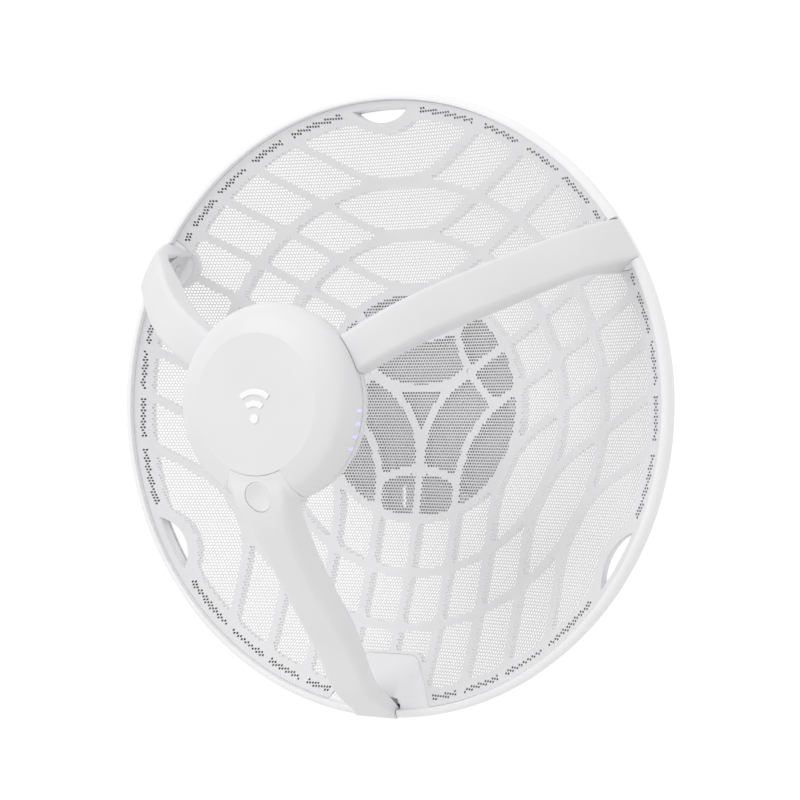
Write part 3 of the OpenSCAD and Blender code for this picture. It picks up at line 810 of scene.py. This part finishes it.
def arm_section(half, deep, wall, roof, corner=3.6, crown=0.5):
    """A U section as (across, depth) points, round its outside and back round its inside."""
    right = [(half - wall, deep), (half - wall * 0.35, deep), (half, deep - wall * 0.35)]
    right += [(half - corner + corner * math.cos(a), corner - corner * math.sin(a))
              for a in np.radians(np.linspace(0, 90, 8))]
    flat = half - corner
    top = [(u, -crown * (1 - (u / flat) ** 2)) for u in np.linspace(flat * 0.75, -flat * 0.75, 7)]
    outer = right + top + [(-u, v) for u, v in reversed(right)]
    inner = [(-(half - wall), roof + 1.5), (-(half - wall - 1.5), roof), (half - wall - 1.5, roof),
             (half - wall, roof + 1.5)]
    return np.array(outer + inner)


def depth_at(r):
    """Depth of an arm's section, which thins towards the foot."""
    return 15.0 - 5.5 * ease((r - 138.0) / 46.0)


def foot_marks(side):
    """Cutters for an arm's foot: a slanted slot and the groove around its snap tab."""
    turn = np.radians(np.arange(0, 360, 20))
    slot = np.stack([2.4 * np.cos(turn), 2.4 * np.sin(turn) + 4.6 * np.sign(np.sin(turn) + 1e-9)], axis=1)
    lean = math.radians(-32.0)
    slot = slot @ np.array([[math.cos(lean), math.sin(lean)], [-math.sin(lean), math.cos(lean)]])
    outlines = [slot + np.array([-8.5, 20.5])]
    groove = ((-5, 5, 5.6, 6.4), (-5, 5, -3.4, -2.6), (-5, -4.2, -3.4, 6.4), (4.2, 5, -3.4, 6.4))
    for v0, v1, z0, z1 in groove:
        outlines.append(np.array([(v0, z0), (v1, z0), (v1, z1), (v0, z1)]))
    cutters = []
    for outline in outlines:
        rings = [np.array([(r, -side * v, z) for v, z in outline]) for r in (174.0, 187.5)]
        cutters.append(outward(mesh_from("mark", *swept_ring(rings))))
    return cutters


def arm(name, degrees, node):
    front = smooth_path(ARM_LINE, 5)
    inward = normals_of(front)
    last = int(np.argmax(front[:, 0] > FOOT_R))
    heel = np.array([187.0, -9.0])
    rings = []
    for i, (p, n) in enumerate(zip(front, inward)):
        half = 12.8 + 1.8 * (p[0] - 50.0) / (RIM_R - 50.2)
        deep, along = float(depth_at(p[0])), n
        if i > last:
            t = (i - last) / (len(front) - 1 - last)
            back = (1 - t) * (front[last] + depth_at(front[last, 0]) * inward[last]) + t * heel
            deep = np.linalg.norm(back - p)
            along = (back - p) / deep
        roof = ARM_WALL + (deep - 4.1) * float(ease((p[0] - 166.0) / 12.0))
        corner = 3.6 if i < last else 3.6 - 1.4 * (i - last) / (len(front) - last)
        section = arm_section(half, deep, ARM_WALL, roof, corner)
        ring = np.stack([p[0] + section[:, 1] * along[0], section[:, 0],
                         p[1] + section[:, 1] * along[1]], axis=1)
        ring[:, 2] = np.maximum(ring[:, 2], bed_z(ring[:, 0]))
        rings.append(ring)
    mesh = outward(mesh_from(name, *swept_ring(rings)))
    mesh = carved(mesh, [puck_cutter(0.35), *foot_marks(1 if degrees < 90 else -1)], crossing=True)
    tongue = box_mesh(*TONGUE)
    for piece, m in ((name, mesh), (name + "_tongue", tongue)):
        mesh_turned(m, degrees)
        bevelled(finish_mesh(m, piece, "root", "arm_plastic", (node,), 32), 0.35)


# ---- Radio ----

FACE_LINE = smooth_path([(r, PUCK_FRONT + z) for r, z in FRONT_EDGE], 6)
BAY_R, BAY_HALF, BAY_FLOOR = 43.0, 25.0, 123.3
BUTTON_Y, BUTTON_R = -56.0, 9.0
LED_ANGLES = (-4.0, -11.4, -18.7, -26.3)


def puck_z(rho):
    """Height of the radio's front surface at a distance from its axis; very low outside it."""
    widest = int(np.argmax(FACE_LINE[:, 0]))
    r = np.concatenate([[0.0], FACE_LINE[:widest + 1, 0]])
    z = np.concatenate([[PUCK_FRONT], FACE_LINE[:widest + 1, 1]])
    return np.interp(rho, r, z, right=60.0)


def bay_outline(grow):
    """Outline of the radio's cable bay, which opens towards the lower arm."""
    r = BAY_R - grow
    top = [(r * math.cos(a), r * math.sin(a)) for a in np.radians(np.linspace(246, 294, 17))]
    half = BAY_HALF + grow
    return top + [(half, -53.4), (half, -72.0), (-half, -72.0), (-half, -53.4)]


def housing_front():
    inner = [(r - 2.2, z) for r, z in FACE_LINE if z < PUCK_FRONT - 3.0]
    profile = [(0.01, PUCK_FRONT)] + [tuple(q) for q in FACE_LINE] + [(57.4, 121.3)]
    profile += [tuple(q) for q in reversed(inner)] + [(0.01, PUCK_FRONT - 2.4)]
    shell = outward(mesh_from("shell", *lathe(profile, steps=288)))
    cutters = [prism(bay_outline(0), BAY_FLOOR, PUCK_FRONT + 4)]
    for a in LED_ANGLES:
        cutters.append(mesh_turned(box_mesh(54, 62, -1.3, 1.3, 124.3, 129.9), a))
    for a in ARMS:
        cutters.append(mesh_turned(box_mesh(46, 70, -8, 8, 100, 119), a))
    bevelled(finish_mesh(carved(shell, cutters), "housing_front", "root", "housing_plastic",
                         ("housing_front",), 24), 0.25, 2, 40)

    liner = carved(prism(bay_outline(2.0), 121.3, PUCK_FRONT + 1), [prism(bay_outline(0), BAY_FLOOR, 160),
                   box_mesh(-8.1, 8.1, -46, -30, 122.4, 136.1),
                   box_mesh(11.0, 14.2, -46, -30, 128.3, 131.7)])
    liner = carved(liner, [puck_cutter(-0.15)], "INTERSECT")
    bevelled(finish_mesh(liner, "housing_cable_bay", "root", "housing_plastic", ("housing_front",), 30), 0.2)


# ---- Cable cover ----

COVER_LINE = [(43.3, 146.7), (47, 145.6), (56, 143.2), (65, 139), (77, 131), (95, 116), (121, 94), (155, 61),
              (185, 37), (198, 18), (203.9, 8), (206.3, 1.6), (205.8, -2.2)]
COVER_R = (43.3, 53.4, 59, 62, 66, 70, 77, 95, 121, 155, 185, 206.5)
COVER_FLAT = (17.6, 17.8, 17.6, 17.0, 16.0, 15.2, 14.0, 12.0, 11.5, 13.4, 13.2, 12.8)
COVER_WIDE = (17.6, 24.7, 22.5, 20.5, 19.0, 17.7, 16.5, 15.0, 14.5, 15.0, 15.6, 15.6)
COVER_T = 2.2


def cover_z(r):
    """Height of the cover's centre line, where it's still a function of radius."""
    line = smooth_path(COVER_LINE[:9], 6)
    return np.interp(r, line[:, 0], line[:, 1])


def cover_section(flat, wide, deep, corner):
    """Points (across, depth) from one wall's edge to the other, 37 in all."""
    side = np.array([wide - flat, deep])
    c = min(corner, 0.45 * flat)
    t = min(0.45, c / np.linalg.norm(side))
    a, b, d = np.array([flat - c, 0.0]), np.array([flat, 0.0]), np.array([flat, 0.0]) + side * t
    bend = [(1 - s) ** 2 * a + 2 * s * (1 - s) * b + s * s * d for s in np.linspace(0, 1, 8)]
    wall = [d + (np.array([wide, deep]) - d) * s for s in np.linspace(0, 1, 6)[1:]]
    right = bend + wall
    centre = [np.array([u, 0.0]) for u in np.linspace(-(flat - c), flat - c, 13)[1:-1]]
    left = [np.array([-q[0], q[1]]) for q in reversed(right)]
    section = np.array(left + centre + right)
    section[:, 1] -= 0.5 * np.clip(1 - (section[:, 0] / flat) ** 2, 0, 1) * np.clip((deep - 6) / 9, 0, 1)
    return section


def cover_rings():
    """The cover's outer skin, one ring a station; along +X."""
    line = smooth_path(COVER_LINE, 8)
    normal = normals_of(line)
    last = int(np.argmax(line[:, 0] > FOOT_R))
    heel = np.array([201.0, -3.2])
    rings = []
    for i, (p, n) in enumerate(zip(line, normal)):
        flat = np.interp(p[0], COVER_R, COVER_FLAT)
        wide = np.interp(p[0], COVER_R, COVER_WIDE)
        if p[0] < 60.9:
            wide = np.where(p[0] < 55.6, min(wide, BAY_HALF - 0.3),
                            max(22.5, math.sqrt(60.9 ** 2 - p[0] ** 2)))
        upright = float(np.clip((p[0] - 56) / 21, 0, 1))
        along = np.array([0.0, -1.0]) * (1 - upright) + n * upright
        along /= np.linalg.norm(along)
        deep = float(depth_at(p[0])) + 0.5
        if i > last:
            t = (i - last) / (len(line) - 1 - last)
            back = (1 - t) * (line[last] + (depth_at(line[last, 0]) + 0.5) * normal[last]) + t * heel
            deep = np.linalg.norm(back - p)
            along = (back - p) / deep
        section = cover_section(float(flat), float(wide), deep, 3.4 if p[0] > 66 else 2.6)
        s = np.clip((p[0] - 43.3) / 10.1, 0, 1)
        inset = 3.74 * (1 - s) * (section[:, 0] / float(wide)) ** 2
        ring = np.stack([p[0] - inset + section[:, 1] * along[0], section[:, 0],
                         p[1] + section[:, 1] * along[1]], axis=1)
        if p[0] < 61:
            rho = np.hypot(ring[:, 0], ring[:, 1])
            on_puck = puck_z(np.minimum(rho, 60.95))
            ring[:, 2] = -smooth_min(-ring[:, 2], -on_puck, 1.6)
            blend_in = np.clip((52 - p[0]) / 6, 0, 1)
            ring[:, 2] = on_puck * blend_in + ring[:, 2] * (1 - blend_in)
            drop = 2.4 if p[0] < 55.6 else max(0.5, ring[-1, 2] - 123.6)
            foot = ring[[0, -1]] - np.array([0, 0, drop])
            ring = np.concatenate([foot[:1], ring, foot[1:]])
        else:
            ring = np.concatenate([ring[:1], ring, ring[-1:]])
            ring[[0, -1], 2] -= 0.05
        ring[:, 2] = np.maximum(ring[:, 2], np.where(ring[:, 0] > 150, bed_z(ring[:, 0]) + 0.3, 0.0))
        rings.append(ring)
    return rings


def boom_base():
    """The channel under the cover: a U section that opens to the front."""
    line = smooth_path(COVER_LINE, 5)
    normal = normals_of(line)
    last = int(np.argmax(line[:, 0] > FOOT_R))
    heel = np.array([197.0, -4.5])
    rings = []
    for i, (p, n) in enumerate(zip(line, normal)):
        if not 60.0 < p[0] < 203.0 or i > len(line) - 4:
            continue
        back = p + (depth_at(p[0]) + 1.0) * n
        if i > last:
            t = (i - last) / (len(line) - 1 - last)
            back = (1 - t) * (line[last] + (depth_at(line[last, 0]) + 1.0) * normal[last]) + t * heel
        deep = np.linalg.norm(p - back)
        along = (p - back) / deep
        section = arm_section(BASE_HALF, deep - BASE_BEHIND, 2.0, ARM_WALL, 2.6, 0.0)
        ring = np.stack([back[0] + section[:, 1] * along[0], section[:, 0],
                         back[1] + section[:, 1] * along[1]], axis=1)
        ring[:, 2] = np.maximum(ring[:, 2], np.where(ring[:, 0] > 150, bed_z(ring[:, 0]), 0.0))
        rings.append(ring)
    mesh = outward(mesh_from("base", *swept_ring(rings)))
    mesh = carved(mesh, [puck_cutter(0.35)], crossing=True)
    tongue = box_mesh(*TONGUE)
    for piece, m in (("boom_base", mesh), ("boom_base_tongue", tongue)):
        mesh_turned(m, 270)
        bevelled(finish_mesh(m, piece, "root", "arm_plastic", ("boom_base",), 32), 0.3)


def boom_cover():
    rings = cover_rings()
    n = len(rings[0])
    points = np.concatenate(rings)
    faces = [(j * n + i, j * n + i + 1, (j + 1) * n + i + 1, (j + 1) * n + i)
             for j in range(len(rings) - 1) for i in range(n - 1)]
    mesh = mesh_from("cover", turned(points, 270), faces)
    middle = mesh.polygons[(len(rings) // 2) * (n - 1) + n // 2]
    if middle.normal.y > 0:
        mesh.flip_normals()
    skin = bpy.data.objects.new("skin", mesh)
    bpy.context.scene.collection.objects.link(skin)
    thick = skin.modifiers.new("wall", "SOLIDIFY")
    thick.thickness = COVER_T * MM
    thick.offset = -1
    thick.use_quality_normals = True
    bpy.context.view_layer.update()
    mesh = bpy.data.meshes.new_from_object(skin.evaluated_get(bpy.context.evaluated_depsgraph_get()))
    bpy.data.objects.remove(skin)
    mesh = carved(mesh, [rod_mesh((0, BUTTON_Y), BUTTON_R + 0.12, 134, 160)])
    bevelled(finish_mesh(mesh, "boom_cover", "cover", "cover_plastic", ("boom_cover",), 34), 0.25, 2, 50)

    wall = plan_solid(lambda x, y: np.abs(np.hypot(x, y - BUTTON_Y) - BUTTON_R - 1.5) - 0.9,
                      (-12, 12, BUTTON_Y - 12, BUTTON_Y + 12), 0.5, lambda x, y: cover_z(-y) - 1.6,
                      over_r(lambda r: 134.2 + 0 * r))
    floor = lathe([(0.01, 134.0), (11.4, 134.0), (11.4, 135.2), (0.01, 135.2)], steps=96)
    floor = (floor[0] + np.array([0.0, BUTTON_Y, 0.0]), floor[1])
    finish_mesh(outward(mesh_from("cup", *joined([wall, floor]))), "boom_cover_cup", "cover", "cover_plastic",
                ("boom_cover",), 40)

    knuckle = lathe([(1.26, -15), (4.0, -15), (4.0, 15), (1.26, 15)], steps=64)[0]
    faces = lathe([(1.26, -15), (4.0, -15), (4.0, 15), (1.26, 15)], steps=64)[1]
    barrel = np.stack([knuckle[:, 2], -202.6 + knuckle[:, 0], 1.4 + knuckle[:, 1]], axis=1)
    finish_mesh(outward(mesh_from("knuckle", barrel, faces)), "boom_cover_knuckle", "cover", "cover_plastic",
                ("boom_cover",), 40)


def release_button():
    def field(x, y):
        return np.hypot(x, y - BUTTON_Y) - BUTTON_R

    def top(x, y):
        dish = 2.7 * np.clip(1 - np.hypot(x, y - BUTTON_Y) ** 2 / 8.2 ** 2, 0, 1)
        edge = np.clip(-field(x, y) / 0.5, 0, 1)
        return cover_z(-y) - dish - 0.4 * (1 - np.sqrt(1 - (1 - edge) ** 2))

    area = (-10, 10, BUTTON_Y - 10, BUTTON_Y + 10)
    solid = plan_solid(field, area, 0.35, top, over_r(lambda r: 138.0 + 0 * r))
    finish_mesh(outward(mesh_from("button", *solid)), "release_button", "button", "cover_plastic",
                ("release_button",), 40)


# ---- Mark on the face ----

def emblem():
    """A dot with two arcs above it, raised and rounded."""
    shapes = []
    for r in (9.0, 16.0):
        outline = [(rr * math.cos(a), rr * math.sin(a) - 9.0)
                   for rr, sweep in ((r - 1.8, np.linspace(128, 52, 32)), (r + 1.8, np.linspace(52, 128, 32)))
                   for a in np.radians(sweep)]
        shapes.append(prism(outline, PUCK_FRONT - 0.1, PUCK_FRONT + 0.8))
    shapes.append(rod_mesh((0, -9), 3.0, PUCK_FRONT - 0.1, PUCK_FRONT + 0.8, 64))
    for k, mesh in enumerate(shapes):
        piece = finish_mesh(mesh, f"emblem_{k + 1}", "root", "emblem_gloss", ("emblem",), 40)
        bevelled(piece, 0.6, 4, 40)


# ---- Light, floor and camera ----

SKY, GROUND, PAPER = 1.12, 0.60, 1.05
LIGHTS = (("key", (-1.0, -2.0, 1.2), 0.9, 10.5),)


def for_camera_rays(tree, seen, unseen, out):
    """Shows one shader to the camera and lights the object with the other."""
    ray = tree.nodes.new("ShaderNodeLightPath")
    mix = tree.nodes.new("ShaderNodeMixShader")
    tree.links.new(ray.outputs["Is Camera Ray"], mix.inputs["Fac"])
    tree.links.new(unseen, mix.inputs[1])
    tree.links.new(seen, mix.inputs[2])
    tree.links.new(mix.outputs["Shader"], out)


def white_world():
    """Even white paper behind the object, with soft light that is stronger from above."""
    world = bpy.data.worlds.new("studio")
    bpy.context.scene.world = world
    world.use_nodes = True
    tree = world.node_tree
    ambient = tree.nodes["Background"]
    ambient.inputs["Color"].default_value = (1.0, 1.0, 1.0, 1.0)
    where = tree.nodes.new("ShaderNodeTexCoord")
    split = tree.nodes.new("ShaderNodeSeparateXYZ")
    height = tree.nodes.new("ShaderNodeMapRange")
    height.inputs["From Min"].default_value = -1.0
    height.inputs["From Max"].default_value = 1.0
    height.inputs["To Min"].default_value = GROUND
    height.inputs["To Max"].default_value = SKY
    tree.links.new(where.outputs["Generated"], split.inputs["Vector"])
    tree.links.new(split.outputs["Z"], height.inputs["Value"])
    tree.links.new(height.outputs["Result"], ambient.inputs["Strength"])
    paper = tree.nodes.new("ShaderNodeBackground")
    paper.inputs["Color"].default_value = (1.0, 1.0, 1.0, 1.0)
    paper.inputs["Strength"].default_value = PAPER
    for_camera_rays(tree, paper.outputs["Background"], ambient.outputs["Background"],
                    tree.nodes["World Output"].inputs["Surface"])


def pale_floor():
    mesh = bpy.data.meshes.new("floor")
    corners = ((-30, -30), (30, -30), (30, 30), (-30, 30))
    mesh.from_pydata([(x, y, -0.62) for x, y in corners], [], [(0, 1, 2, 3)])
    floor = bpy.data.objects.new("floor", mesh)
    bpy.context.scene.collection.objects.link(floor)
    m, shader = surface("floor", (0.78, 0.78, 0.78), 0.004, 2.0, (0.7, 0.8), 60.0, 0.02, 0.0001)
    tree = m.node_tree
    paper = tree.nodes.new("ShaderNodeEmission")
    paper.inputs["Strength"].default_value = PAPER
    for_camera_rays(tree, paper.outputs["Emission"], shader.outputs["BSDF"],
                    tree.nodes["Material Output"].inputs["Surface"])
    mesh.materials.append(m)


def studio():
    white_world()
    pale_floor()
    for name, place_at, size, power in LIGHTS:
        light = bpy.data.objects.new(name, bpy.data.lights.new(name, "AREA"))
        light.data.size = size
        light.data.energy = power
        light.location = place_at
        light.rotation_euler = (Vector((0, -0.09, 0)) - Vector(place_at)).to_track_quat("-Z", "Y").to_euler()
        bpy.context.scene.collection.objects.link(light)


def camera():
    azimuth, elevation, distance = math.radians(29.34), math.radians(-0.34), 1.2538
    aim = Vector((0.0167, RIM_Y * MM, 0.0028))
    back = Vector((math.sin(azimuth) * math.cos(elevation), -math.cos(azimuth) * math.cos(elevation),
                   math.sin(elevation)))
    lens = bpy.data.cameras.new("camera")
    lens.lens = 85.8
    lens.sensor_width = 36.0
    eye = bpy.data.objects.new("camera", lens)
    eye.location = aim + back * distance
    eye.rotation_euler = back.to_track_quat("Z", "Y").to_euler()
    bpy.context.scene.collection.objects.link(eye)
    bpy.context.scene.camera = eye


dress_cad_nodes()
reflector()
dish_frame()
arm("arm_left", 150, "arm_left")
arm("arm_right", 30, "arm_right")
housing_front()
boom_base()
boom_cover()
release_button()
emblem()
studio()
camera()
bpy.context.scene.view_settings.view_transform = "Standard"
